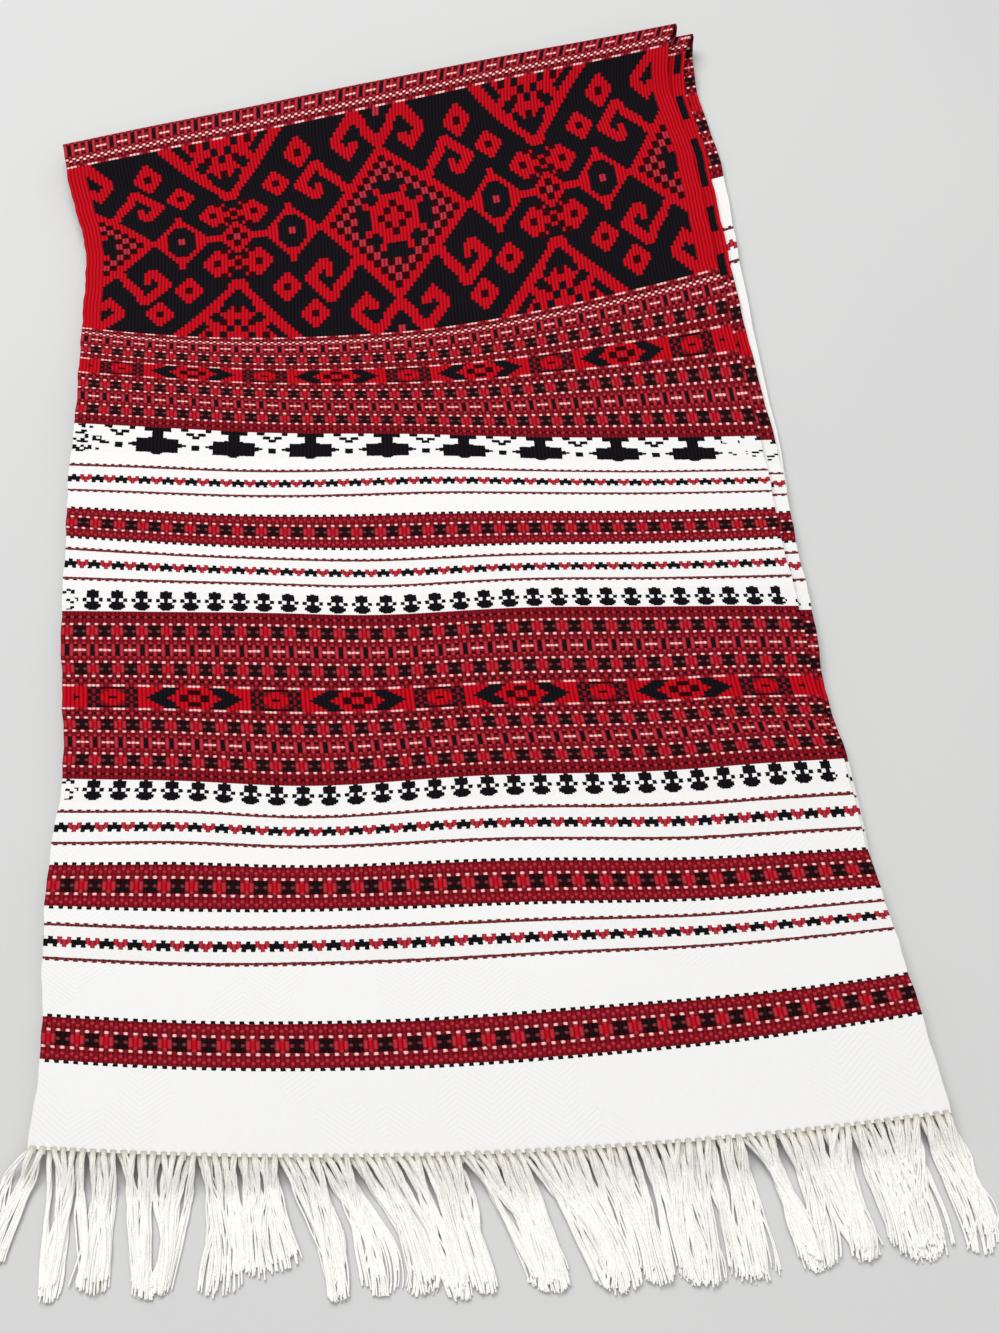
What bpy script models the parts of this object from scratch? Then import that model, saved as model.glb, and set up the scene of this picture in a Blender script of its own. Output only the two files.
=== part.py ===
"""A ritual towel folded to a quarter of its length, with a fringe at each end.

One long woven cloth lies in four layers: the top layer runs from its hem up to the outer fold,
turns under to the bottom layer on the table, comes back at the near fold as the third layer and
turns at the inner fold into the second layer, which ends just below the first hem.
Metres. X runs across the towel, Y away from the viewer and Z up from the table.
"""
import bpy
import numpy as np

MM = 0.001

# The cloth and how loosely its layers lie
CLOTH_THICKNESS = 1.2 * MM
LAYER_GAP = 0.8 * MM
HALF = CLOTH_THICKNESS / 2
LAYER_STEP = CLOTH_THICKNESS + LAYER_GAP
ACROSS = 10
STEP_ALONG = 24.0

# The visible layer line by line, in millimetres from the middle of the hem. Each row gives the woven
# distance from the hem, the line's left end, middle and right end on the table, and how far the cloth
# rises there above its rest height. The left side is bunched up, so its lines lie closer together.
TOP_LAYER = {
    "hem": (0, -191.6, 0.4, -30, -2.5, 185.5, 15.1, 0.0, 0.0, 0.0),
    "first band": (35, -192.2, 36.2, -41.5, 32.7, 179.4, 56.8, 0.3, 0.8, 0.4),
    "first line": (81, -196.8, 80.7, -42.9, 78.9, 172.2, 94.4, 1.2, 1.2, 0.8),
    "second band": (126, -200.5, 126.3, -44.3, 125.5, 164.4, 134.0, 0.9, 1.6, 0.3),
    "lower wide band": (168, -201.0, 168.7, -45.6, 167.3, 159.4, 178.8, 0.6, 1.2, 0.8),
    "its red rows": (214, -206.1, 211.8, -47.0, 211.7, 149.6, 217.6, 1.0, 1.1, 1.2),
    "its top": (259, -212.9, 258.8, -48.4, 258.9, 145.9, 261.5, 1.5, 1.0, 1.6),
    "third band": (298, -216.8, 302.2, -49.6, 296.1, 141.2, 302.1, 2.4, 1.0, 1.5),
    "second line": (339, -219.4, 338.3, -50.8, 335.9, 137.9, 338.9, 4.5, 1.8, 1.2),
    "upper wide band": (371, -220.4, 372.4, -51.7, 366.1, 135.0, 367.8, 6.6, 2.9, 1.1),
    "its middle": (411, -223.6, 408.0, -52.9, 401.6, 128.1, 426.0, 5.6, 3.4, 1.5),
    "diamond field": (452, -226.1, 441.3, -53.9, 437.9, 121.2, 484.0, 2.4, 2.6, 2.6),
    "diamonds": (535, -238.0, 501.0, -58.6, 527.0, 113.6, 574.0, 1.2, 1.4, 2.0),
    "upper border": (617, -249.6, 558.1, -63.3, 611.6, 102.6, 660.6, 1.8, 2.0, 2.6),
    "outer fold": (640, -255.8, 583.0, -60.4, 640.0, 109.3, 684.5, 2.0, 2.2, 3.0),
}
# How far the roll of the outer fold stands above that: left end, middle and right end
CREST = (5.5, 7.5, 10.0)
CREST_REACH = 46.0

# How far each lower layer has slid to the right, by woven distance from the hem
SLIDE_ROWS = (
    # distance, second layer, third layer, bottom layer
    (0, 0.0, 0.4, 0.4),
    (100, 1.0, 1.5, 1.0),
    (165, 2.5, 3.5, 1.5),
    (260, 7.0, 6.0, 2.0),
    (371, 8.5, 11.0, 3.0),
    (452, 8.5, 14.5, 4.0),
    (560, 9.0, 17.0, 5.0),
    (612, 10.5, 16.5, 3.0),
    (640, 11.5, 11.5, 0.0),
)

# Where the folds turn: the start and the tip of each bend, by woven distance
OUTER_BEND = (630.0, 640.0)
INNER_BEND = (628.0, 635.5)
NEAR_FOLD = 7.0
SECOND_HEM = 2.5
BEND_ANGLES = (60, 30, 0, -30, -60)

# How much of the waves and of the roll each layer takes, from the top layer to the bottom one
WAVE_SHARE = (1.0, 0.8, 0.5, 0.0)
CREST_SHARE = (1.0, 0.72, 0.25, 0.0)

# The fringes: twisted ends of the warp, fused into a narrow strip that stands clear of the cloth
STRANDS = 92
STRAND_WIDTH = 1.2 * MM
STRAND_HEIGHT = 1.2 * MM
STRIP_LENGTH = 3.0 * MM
PARTING = 0.35 * MM
# The locks of the fringe end unevenly: mean reach, then two waves of (change, waves over the width, phase)
FRINGE_REACH = 52.5 * MM
REACH_WAVES = ((2.7 * MM, 5.9, 0.0), (1.9 * MM, 13.2, 2.0))
# Where along its reach a strand has its rings, and how much of its drop to the table is left there
STRAND_RINGS = ((0.12, 0.62), (0.36, 0.0), (0.68, 0.0), (1.0, 0.0))
# How far the tips spread outward at the left and right ends, and over which share of the width
SPREAD_LEFT, SPREAD_RIGHT = 16.0 * MM, 30.0 * MM
SPREAD_SHARE = 0.3
SPREAD_BEND = 1.4
# The strands between them lean to and fro together
SWAY_WAVES = ((1.5 * MM, 2.1, 0.0), (0.75 * MM, 4.6, 1.0))
SWAY_BEND = 1.6


def clear_scene():
    for thing in list(bpy.data.objects):
        bpy.data.objects.remove(thing, do_unlink=True)


def smooth_curve(knots, values, at):
    """Value at one place of a smooth curve through the given knots, running straight on past its ends."""
    knots, values = np.asarray(knots, float), np.asarray(values, float)
    slopes = np.gradient(values, knots)
    k = int(np.clip(np.searchsorted(knots, at) - 1, 0, len(knots) - 2))
    span = knots[k + 1] - knots[k]
    t = (at - knots[k]) / span
    if t < 0:
        return values[k] + slopes[k] * (at - knots[k])
    if t > 1:
        return values[k + 1] + slopes[k + 1] * (at - knots[k + 1])
    rise = values[k + 1] - values[k]
    ease = t * t * (3 - 2 * t)
    start, finish = t * (1 - t) ** 2 * slopes[k] * span, t * t * (t - 1) * slopes[k + 1] * span
    return values[k] + rise * ease + start + finish


def column_of(table, number):
    return [row[number] for row in table]


TOP_ROWS = list(TOP_LAYER.values())
WOVEN = column_of(TOP_ROWS, 0)


def top_value(number, woven):
    return smooth_curve(WOVEN, column_of(TOP_ROWS, number), woven)


def three_point(a, b, c, share):
    """Smooth value across the towel from its left end, middle and right end."""
    return a * (1 - share) * (1 - 2 * share) + 4 * b * share * (1 - share) + c * share * (2 * share - 1)


def place_on_table(woven, share):
    """Plan position in millimetres of a point of the towel, share 0 at its left edge and 1 at its right."""
    xl, yl, xm, ym, xr, yr = (top_value(n, woven) for n in range(1, 7))
    x = xl + (xr - xl) * share
    left = yl * (x - xm) * (x - xr) / ((xl - xm) * (xl - xr))
    middle = ym * (x - xl) * (x - xr) / ((xm - xl) * (xm - xr))
    right = yr * (x - xl) * (x - xm) / ((xr - xl) * (xr - xm))
    return x, left + middle + right


def wave_height(woven, share):
    left, middle, right = (top_value(n, woven) for n in (7, 8, 9))
    return max(0.0, three_point(left, middle, right, share))


def crest_height(woven, share):
    """Height of the roll at the outer fold, growing over its reach."""
    t = np.clip((woven - (OUTER_BEND[0] - CREST_REACH)) / CREST_REACH, 0, 1)
    return three_point(*CREST, share) * t * t * (3 - 2 * t)


def slide(layer, woven):
    if layer == 0:
        return 0.0
    return smooth_curve(column_of(SLIDE_ROWS, 0), column_of(SLIDE_ROWS, layer), woven)


def rest_height(layer):
    """Height of a layer's middle where it lies flat, layer 0 being the top one."""
    return HALF + (3 - layer) * LAYER_STEP


def layer_height(layer, woven, share):
    rise = WAVE_SHARE[layer] * wave_height(woven, share) + CREST_SHARE[layer] * crest_height(woven, share)
    return rest_height(layer) + rise * MM


def layer_point(layer, woven, share):
    x, y = place_on_table(woven, share)
    return np.array(((x + slide(layer, woven)) * MM, y * MM, layer_height(layer, woven, share)))


def bend_points(above, below, start, tip, share):
    """Points around a fold, from the layer above it to the layer below it."""
    points = []
    upper, lower = layer_height(above, start, share), layer_height(below, start, share)
    for angle in np.radians(BEND_ANGLES):
        woven = start + (tip - start) * np.cos(angle)
        x, y = place_on_table(woven, share)
        mix = (1 + np.sin(angle)) / 2
        x += slide(above, woven) * mix + slide(below, woven) * (1 - mix)
        points.append(np.array((x * MM, y * MM, lower + (upper - lower) * mix)))
    return points


def run(layer, start, finish, share):
    """Evenly spaced points of one layer between two woven distances."""
    count = int(round(abs(finish - start) / STEP_ALONG)) + 1
    return [layer_point(layer, woven, share) for woven in np.linspace(start, finish, count)]


def cloth_path(share):
    """The cloth's middle line from its upper end to its lower end, through all four layers."""
    near_tip = NEAR_FOLD - LAYER_STEP / 2 / MM
    path = run(0, 0.0, OUTER_BEND[0], share)
    path += bend_points(0, 3, *OUTER_BEND, share)
    path += run(3, OUTER_BEND[0], NEAR_FOLD, share)
    path += bend_points(2, 3, NEAR_FOLD, near_tip, share)[::-1]
    path += run(2, NEAR_FOLD, INNER_BEND[0], share)
    path += bend_points(1, 2, *INNER_BEND, share)[::-1]
    path += run(1, INNER_BEND[0], SECOND_HEM, share)
    return np.array(path)


def make_object(name, vertices, faces, material):
    mesh = bpy.data.meshes.new(name)
    mesh.from_pydata([tuple(v) for v in vertices], [], faces)
    mesh.materials.append(material)
    mesh.validate()
    thing = bpy.data.objects.new(name, mesh)
    bpy.context.scene.collection.objects.link(thing)
    return thing


def fabric(name, colour):
    material = bpy.data.materials.new(name)
    material.use_nodes = True
    shader = material.node_tree.nodes["Principled BSDF"]
    shader.inputs["Base Color"].default_value = (*colour, 1)
    shader.inputs["Roughness"].default_value = 0.9
    return material


def cloth_skins():
    """The two faces of the cloth as grids of points, half its thickness to each side of the path."""
    middle = np.array([cloth_path(i / ACROSS) for i in range(ACROSS + 1)])
    along = np.gradient(middle, axis=1)
    across = np.gradient(middle, axis=0)
    normal = np.cross(across, along)
    normal /= np.linalg.norm(normal, axis=2, keepdims=True)
    outer, inner = middle + normal * HALF, middle - normal * HALF
    for skin in (outer, inner):
        skin[..., 2] = np.where(np.abs(skin[..., 2]) < MM * 1e-3, 0.0, skin[..., 2])
    return outer, inner


def build_cloth(material):
    outer, inner = cloth_skins()
    columns, stations = outer.shape[:2]
    vertices = np.concatenate([outer.reshape(-1, 3), inner.reshape(-1, 3)])

    def top(i, k):
        return i * stations + k

    def under(i, k):
        return columns * stations + i * stations + k

    faces = []
    for i in range(columns - 1):
        for k in range(stations - 1):
            faces.append((top(i, k), top(i + 1, k), top(i + 1, k + 1), top(i, k + 1)))
            faces.append((under(i, k), under(i, k + 1), under(i + 1, k + 1), under(i + 1, k)))
        for k in (0, stations - 1):
            edge = (top(i, k), under(i, k), under(i + 1, k), top(i + 1, k))
            faces.append(edge if k == 0 else edge[::-1])
    for k in range(stations - 1):
        last = columns - 1
        faces.append((top(0, k), top(0, k + 1), under(0, k + 1), under(0, k)))
        faces.append((top(last, k), under(last, k), under(last, k + 1), top(last, k + 1)))
    return make_object("towel_cloth", vertices, faces, material)


def sum_of_waves(waves, share):
    return sum(size * np.sin(2 * np.pi * count * share + phase) for size, count, phase in waves)


def fringe_sideways(share, reach):
    """How far a strand that left the cloth at this share has moved sideways."""
    near_left = max(0.0, 1 - share / SPREAD_SHARE)
    near_right = max(0.0, 1 - (1 - share) / SPREAD_SHARE)
    spread = SPREAD_RIGHT * near_right ** 2 - SPREAD_LEFT * near_left ** 2
    sway = sum_of_waves(SWAY_WAVES, share) * (1 - near_right)
    return spread * reach ** SPREAD_BEND + sway * reach ** SWAY_BEND


def fringe_reach(share):
    return FRINGE_REACH + sum_of_waves(REACH_WAVES, share)


def build_fringe(name, layer, hem_at, shares, material):
    """Strands of three sides, each growing out of the front wall of one strip."""
    drop = rest_height(layer) - HALF
    vertices, faces = [], []

    def add(x, y, z):
        vertices.append((x, y, z))
        return len(vertices) - 1

    def root(share, back):
        x, y = place_on_table(hem_at, share)
        return x * MM, y * MM - PARTING - (0 if back else STRIP_LENGTH)

    def corner_posts(share):
        """Vertices of an end of the strip: front top, front bottom, back top and back bottom."""
        (fx, fy), (bx, by) = root(share, False), root(share, True)
        low, high = drop, drop + STRAND_HEIGHT
        return add(fx, fy, high), add(fx, fy, low), add(bx, by, high), add(bx, by, low)

    first = corner_posts(0.0)
    faces.append((first[0], first[2], first[3], first[1]))
    last_top, last_low, back_top, back_low = first
    for share in shares:
        (fx, fy), (bx, by) = root(share, False), root(share, True)
        ring = [add(fx - STRAND_WIDTH / 2, fy, drop), add(fx + STRAND_WIDTH / 2, fy, drop),
                add(fx, fy, drop + STRAND_HEIGHT)]
        new_top, new_low = add(bx, by, drop + STRAND_HEIGHT), add(bx, by, drop)
        faces.append((last_top, ring[2], new_top, back_top))
        faces.append((back_top, new_top, new_low, back_low))
        faces.append((last_low, back_low, new_low, ring[0]))
        faces.append((ring[0], new_low, ring[1]))
        faces.append((last_low, ring[0], ring[2], last_top))
        last_top, last_low, back_top, back_low = ring[2], ring[1], new_top, new_low
        front_y = place_on_table(0, share)[1] * MM - PARTING - STRIP_LENGTH
        for reach, left in STRAND_RINGS:
            sideways = fringe_sideways(share, reach)
            x, y, z = fx + sideways, front_y - fringe_reach(share) * reach, drop * left
            new = [add(x - STRAND_WIDTH / 2, y, z), add(x + STRAND_WIDTH / 2, y, z),
                   add(x, y, z + STRAND_HEIGHT)]
            for a, b in ((0, 1), (1, 2), (2, 0)):
                faces.append((ring[a], ring[b], new[b], new[a]))
            ring = new
        faces.append((ring[0], ring[1], ring[2]))
    last = corner_posts(1.0)
    faces.append((last_top, last[0], last[2], back_top))
    faces.append((back_top, last[2], last[3], back_low))
    faces.append((last_low, back_low, last[3], last[1]))
    faces.append((last_low, last[1], last[0], last_top))
    faces.append((last[0], last[1], last[3], last[2]))
    return make_object(name, vertices, faces, material)


def centre_on_base(things):
    """Shift all pieces so that the middle of the underside of their common box is at the origin."""
    corners = np.array([v.co for thing in things for v in thing.data.vertices])
    low, high = corners.min(axis=0), corners.max(axis=0)
    shift = np.array(((low[0] + high[0]) / 2, (low[1] + high[1]) / 2, low[2]))
    for thing in things:
        for vertex in thing.data.vertices:
            vertex.co = np.array(vertex.co) - shift
    print("box in mm", np.round((high - low) / MM, 2), "shift in mm", np.round(shift / MM, 3))


def main():
    clear_scene()
    woven = fabric("woven_cotton", (0.62, 0.05, 0.06))
    twisted = fabric("fringe_cotton", (0.83, 0.79, 0.69))
    cloth = build_cloth(woven)
    even = (np.arange(STRANDS) + 0.5) / STRANDS
    between = np.arange(1, STRANDS) / STRANDS
    front = build_fringe("fringe_front", 0, 0.0, even, twisted)
    under = build_fringe("fringe_under", 1, SECOND_HEM, between, twisted)
    centre_on_base([cloth, front, under])


main()
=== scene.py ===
# %% [markdown]
# # A folded ritual towel, dressed for a photograph
# The towel is one long hand-woven cloth, folded twice so that it lies in four layers, with a knotted
# fringe at each end. It could be modelled freely by eye, but a part that others reuse has to keep its
# real size. So the measured solids come first, as a fixed frame, and everything after hangs on them.

# %% Load the measured solids
import math
import bpy
import numpy as np
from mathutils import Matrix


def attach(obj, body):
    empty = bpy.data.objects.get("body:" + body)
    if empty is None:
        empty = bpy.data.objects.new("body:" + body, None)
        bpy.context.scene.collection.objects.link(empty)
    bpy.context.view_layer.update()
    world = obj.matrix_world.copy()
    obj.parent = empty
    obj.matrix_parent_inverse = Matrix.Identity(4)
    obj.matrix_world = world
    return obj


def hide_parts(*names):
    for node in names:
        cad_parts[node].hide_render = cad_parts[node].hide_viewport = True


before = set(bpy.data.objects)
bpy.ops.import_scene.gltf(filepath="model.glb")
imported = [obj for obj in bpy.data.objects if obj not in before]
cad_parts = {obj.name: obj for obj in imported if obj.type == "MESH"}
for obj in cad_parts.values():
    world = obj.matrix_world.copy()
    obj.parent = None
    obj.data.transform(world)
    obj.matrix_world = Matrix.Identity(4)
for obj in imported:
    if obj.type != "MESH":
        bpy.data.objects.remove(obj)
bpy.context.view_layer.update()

MM = 0.001
print("solids:", sorted(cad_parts))

# %% [markdown]
# ## Camera
# The towel was seen from the fringe end, from about 70 cm above the table, looking steeply down. The
# camera could be set by eye. Here the 12 mm repeat of the ornament helped, as it gets smaller from the
# hem to the fold by an amount that only one height and one angle give. The view transform is Standard,
# because the softer ones turn deep red and black yarn pale.

# %% Camera
CAMERA_PLACE = (21.5 * MM, -485.7 * MM, 684.9 * MM)
CAMERA_DOWN = 59.2
CAMERA_LENS, SENSOR_WIDTH = 44.56, 36

camera_data = bpy.data.cameras.new("camera")
camera_data.sensor_width = SENSOR_WIDTH
camera_data.lens = CAMERA_LENS
camera_data.clip_start, camera_data.clip_end = 0.01, 20
camera = bpy.data.objects.new("camera", camera_data)
camera.location = CAMERA_PLACE
camera.rotation_euler = (math.radians(90 - CAMERA_DOWN), 0, 0)
bpy.context.scene.collection.objects.link(camera)
bpy.context.scene.camera = camera
bpy.context.scene.view_settings.view_transform = "Standard"
print("camera looks down by", CAMERA_DOWN, "degrees, lens", CAMERA_LENS, "mm")

# %% [markdown]
# ## The visible layer, line by line
# A weaver's towel is never quite square, and this one was laid down by hand. Its left side is bunched
# up, so its lines crowd together there. A rectangle bent by a few waves would lose that, so a table
# follows the visible layer line by line. It holds the measures of the solids, except for the left end
# beside the diamonds, which was measured again and lies 5 mm further in.

# %% Measures of the visible layer
# the middle of the whole towel's box, from the place on the hem where the measures start, in mm
SHIFT = (-21.5, 310.914)
THICKNESS, LAYER_STEP = 1.2, 2.0
# each line across the cloth: its distance from the hem along the cloth, x and y of its left end, its
# middle and its right end, and how high a soft wave lifts it at these three places, all in mm
TOP_LAYER = {
    "hem": (0, -191.6, 0.4, -30, -2.5, 185.5, 15.1, 0.0, 0.0, 0.0),
    "first band": (35, -192.2, 36.2, -41.5, 32.7, 179.4, 56.8, 0.3, 0.8, 0.4),
    "first line": (81, -196.8, 80.7, -42.9, 78.9, 172.2, 94.4, 1.2, 1.2, 0.8),
    "second band": (126, -200.5, 126.3, -44.3, 125.5, 164.4, 134.0, 0.9, 1.6, 0.3),
    "lower wide band": (168, -201.0, 168.7, -45.6, 167.3, 159.4, 178.8, 0.6, 1.2, 0.8),
    "its red rows": (214, -206.1, 211.8, -47.0, 211.7, 149.6, 217.6, 1.0, 1.1, 1.2),
    "its top": (259, -212.9, 258.8, -48.4, 258.9, 145.9, 261.5, 1.5, 1.0, 1.6),
    "third band": (298, -216.8, 302.2, -49.6, 296.1, 141.2, 302.1, 2.4, 1.0, 1.5),
    "second line": (339, -219.4, 338.3, -50.8, 335.9, 137.9, 338.9, 4.5, 1.8, 1.2),
    "upper wide band": (371, -220.4, 372.4, -51.7, 366.1, 135.0, 367.8, 6.6, 2.9, 1.1),
    "its middle": (411, -223.6, 408.0, -52.9, 401.6, 128.1, 426.0, 5.6, 3.4, 1.5),
    "diamond field": (452, -226.1, 441.3, -53.9, 437.9, 121.2, 484.0, 2.4, 2.6, 2.6),
    "diamonds": (535, -232.8, 501.0, -58.6, 527.0, 113.6, 574.0, 1.2, 1.4, 2.0),
    "upper border": (617, -249.6, 558.1, -63.3, 611.6, 102.6, 660.6, 1.8, 2.0, 2.6),
    "outer fold": (640, -255.8, 583.0, -60.4, 640.0, 109.3, 684.5, 2.0, 2.2, 3.0),
}
TOP_TABLE = np.array(list(TOP_LAYER.values()), float)
DISTANCE, PLACES, WAVES = 0, range(1, 7), range(7, 10)
print("lines measured across the visible layer:", len(TOP_TABLE))

# %% [markdown]
# ## The hidden layers
# Under the visible layer lie three more. Each stands out a few millimetres to the right of the top one,
# as its end shows there. Each could have a table of its own. One small table of how far each layer
# slides keeps them nearly parallel, as cloth that was folded in one go is.

# %% Measures of the hidden layers
LAYERS = 4
TOP, SECOND, THIRD, BOTTOM = range(LAYERS)
SLIDE_ROWS = (
    # distance from the hem, second layer, third layer, bottom layer
    (0, 0.0, 0.4, 0.4),
    (100, 1.0, 1.5, 1.0),
    (165, 2.5, 3.5, 1.5),
    (260, 7.0, 6.0, 2.0),
    (371, 8.5, 11.0, 3.0),
    (452, 8.5, 14.5, 4.0),
    (560, 9.0, 17.0, 5.0),
    (612, 10.5, 16.5, 3.0),
    (640, 11.5, 11.5, 0.0),
)
SLIDE_TABLE = np.array(SLIDE_ROWS, float)
# where each far fold begins to turn and where its tip lies; the near fold; the hem of the other end
OUTER_BEND, INNER_BEND = (630.0, 640.0), (628.0, 635.5)
NEAR_FOLD, SECOND_HEM = 7.0, 2.5
# the cloth swells before the outer fold: height at the left, middle and right, and how far it reaches
CREST, CREST_REACH = (5.5, 7.5, 10.0), 46.0
# how much of the waves and of the swelling each layer takes, from the top one down
WAVE_SHARE, CREST_SHARE = (1.0, 0.8, 0.5, 0.0), (1.0, 0.72, 0.25, 0.0)
print("furthest slide to the right:", SLIDE_TABLE[:, SECOND:].max(), "mm")

# %% [markdown]
# ## From a place on the cloth to a place on the table
# A point of the cloth has two numbers: how far it lies from the hem, and its share of the width, from 0
# at the left edge to 1 at the right. Straight lines between the measured ones would leave kinks across
# the towel. So smooth curves run through the table lengthwise, and a parabola runs across each line.

# %% Curves through the measures


def smooth_curve(knots, values, at):
    """A smooth curve through the knots, read at many places, running straight on past its ends."""
    knots, values, at = (np.asarray(a, float) for a in (knots, values, at))
    slopes = np.gradient(values, knots)
    k = np.clip(np.searchsorted(knots, at) - 1, 0, len(knots) - 2)
    span = knots[k + 1] - knots[k]
    t = np.clip((at - knots[k]) / span, 0, 1)
    curve = values[k] + (values[k + 1] - values[k]) * t * t * (3 - 2 * t)
    curve += t * (1 - t) ** 2 * slopes[k] * span + t * t * (t - 1) * slopes[k + 1] * span
    return curve + np.minimum(at - knots[0], 0) * slopes[0] + np.maximum(at - knots[-1], 0) * slopes[-1]


def three_point(a, b, c, share):
    """A parabola with the values a at the left edge, b in the middle and c at the right edge."""
    return a * (1 - share) * (1 - 2 * share) + 4 * b * share * (1 - share) + c * share * (2 * share - 1)


def top_value(column, woven):
    return smooth_curve(TOP_TABLE[:, DISTANCE], TOP_TABLE[:, column], woven)


def place_on_table(woven, share):
    """Place on the table in mm: x is shared out evenly, and y follows a parabola through three points."""
    xl, yl, xm, ym, xr, yr = (top_value(n, woven) for n in PLACES)
    x = xl + (xr - xl) * share
    y = yl * (x - xm) * (x - xr) / ((xl - xm) * (xl - xr))
    y = y + ym * (x - xl) * (x - xr) / ((xm - xl) * (xm - xr))
    return x, y + yr * (x - xl) * (x - xm) / ((xr - xl) * (xr - xm))


def layer_height(layer, woven, share):
    """Height of the middle of the cloth above the table, in mm."""
    wave = np.maximum(0, three_point(*(top_value(n, woven) for n in WAVES), share))
    t = np.clip((woven - (OUTER_BEND[0] - CREST_REACH)) / CREST_REACH, 0, 1)
    crest = three_point(*CREST, share) * t * t * (3 - 2 * t)
    level = THICKNESS / 2 + (BOTTOM - layer) * LAYER_STEP
    return level + WAVE_SHARE[layer] * wave + CREST_SHARE[layer] * crest


def slide(layer, woven):
    """How far a hidden layer lies to the right of the top one, in mm."""
    return smooth_curve(SLIDE_TABLE[:, DISTANCE], SLIDE_TABLE[:, layer], woven) if layer else 0.0


fold_tip = place_on_table(np.array(OUTER_BEND[1]), 1.0)
print("right end of the outer fold:", [round(float(c), 1) for c in fold_tip], "mm")

# %% [markdown]
# ## The bands of the weave
# The ornament is counted thread by thread: 180 steps of 2 mm across the cloth, and rows of about
# 1.25 mm along it. A painted picture would blur and would need its own place on each layer. A list of
# bands, in millimetres of cloth from the hem over the fold and on, puts each one right on any layer.

# %% Bands along the cloth
BANDS = (
    # start, chart, rows, turned round
    (0.0, "plain", 28, False),
    (35.0, "narrow", 17, False),
    (56.6, "plain", 20, False),
    (81.2, "line", 30, False),
    (98.9, "plain", 5, False),
    (104.9, "narrow", 17, False),
    (126.5, "plain", 6, False),
    (134.5, "line", 30, False),
    (152.2, "plain", 3, False),
    (156.4, "eights", 18, False),
    (167.9, "half", 32, False),
    (208.1, "cross", 9, False),
    (219.4, "half", 32, True),
    (259.5, "eights", 18, False),
    (271.0, "plain", 3, False),
    (275.3, "line", 30, False),
    (293.0, "plain", 4, False),
    (298.0, "narrow", 17, False),
    (319.6, "plain", 8, False),
    (330.3, "line", 30, False),
    (348.0, "plain", 5, False),
    (354.4, "drops", 26, True),
    (370.8, "half", 32, False),
    (411.0, "cross", 9, False),
    (422.3, "short", 24, False),
    (452.4, "field", 62, False),
    (617.4, "brim", 12, False),
    (633.6, "half", 32, False),
    (678.5, "cross", 9, False),
    (691.1, "half", 32, True),
    (745.0, "plain", 31, False),
    (784.0, "line", 30, False),
    (810.0, "plain", 190, False),
    (1050.0, "line", 30, False),
    (1068.0, "plain", 180, False),
)
WOVEN_END = 1300.0
BAND_STARTS = [row[0] for row in BANDS] + [WOVEN_END]
CHARTS = ("plain", "narrow", "line", "eights", "half", "cross", "short", "brim", "drops", "field", "back")
STEPS_ACROSS, STEP = 180, 2
WIDTH = STEPS_ACROSS * STEP


def band_of(a, b):
    """Which band lies between two pattern distances."""
    centre = min((a + b) / 2, BAND_STARTS[-1] - 1)
    return int(np.searchsorted(BAND_STARTS, centre, side="right") - 1)


def chart_row(band, distance):
    """The row of a band's chart that a distance along the cloth falls on."""
    start, chart, rows, turned = BANDS[band]
    v = (distance - start) / (BAND_STARTS[band + 1] - start) * rows
    return rows - v if turned else v


print("bands:", len(BANDS), "on a cloth", WIDTH, "mm wide")

# %% [markdown]
# ## Soft hills, small waves and edges
# A washed cloth never lies dead flat: it keeps small waves, a hand leaves soft hills and hollows in it,
#  and its edges wander where each weft turns back. Cloth simulation would give hills of its own, not
#  these. So each hill is listed as a round bell that lifts the cloth and drags its bands along.

# %% Unevenness of the top layer
CREASES = (
    # across and along the cloth, reach both ways, drift along the cloth and rise, all in mm
    (115, 175, 55, 45, -2.2, -0.6),
    (195, 150, 60, 50, 1.6, 1.4),
    (60, 140, 40, 35, 1.4, 0.9),
    (150, 250, 45, 55, -2.0, -0.4),
    (245, 290, 60, 60, 1.5, 1.2),
    (95, 330, 45, 45, -1.4, 0.5),
    (185, 345, 45, 40, 1.6, 1.2),
    (285, 120, 50, 40, -1.5, 0.7),
    (60, 90, 60, 30, -1.5, 1.0),
    (230, 60, 70, 35, 1.2, 0.8),
    (320, 200, 35, 60, 1.2, 0.9),
    (40, 480, 45, 60, -1.5, 1.2),
    (290, 430, 60, 50, 1.4, 0.8),
)
DEEPEST_HOLLOW = -0.6
RIPPLE_SHARE, RIPPLE_LIFT = 0.8, 0.9


def ripple(woven, share):
    """Small waves of the top layer, in mm, always upward."""
    x, y = share * WIDTH, woven
    waves = 0.35 * np.sin(y / 31 + 0.9 * np.sin(x / 70)) + 0.25 * np.sin(x / 43 + y / 83 + 1.0)
    waves = waves + 0.18 * np.sin(x / 17 + 1.4 * np.sin(y / 37)) + 0.12 * np.sin(y / 11 + x / 29)
    return RIPPLE_SHARE * (RIPPLE_LIFT + waves)


def uneven(woven, share, y, z):
    """Add the hills, the hollows and the small waves to a point's place along the table and height."""
    across = share * WIDTH
    drift, rise = 0.0, 0.0
    for at_x, at_y, reach_x, reach_y, along, up in CREASES:
        bell = np.exp(-(((across - at_x) / reach_x) ** 2 + ((woven - at_y) / reach_y) ** 2))
        drift, rise = drift + along * bell, rise + up * bell
    return y + drift, z + np.maximum(rise, DEEPEST_HOLLOW) + ripple(woven, share)


def selvedge(woven, share):
    """The edges wander by a fraction of a millimetre, where each weft turns back."""
    edge = np.abs(2 * share - 1) ** 12 * np.sign(2 * share - 1)
    wander = 0.25 * np.sin(woven / 5.3) + 0.35 * np.sin(woven / 19.0 + 2) + 0.15 * np.sin(woven / 2.3)
    return edge * wander


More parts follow.
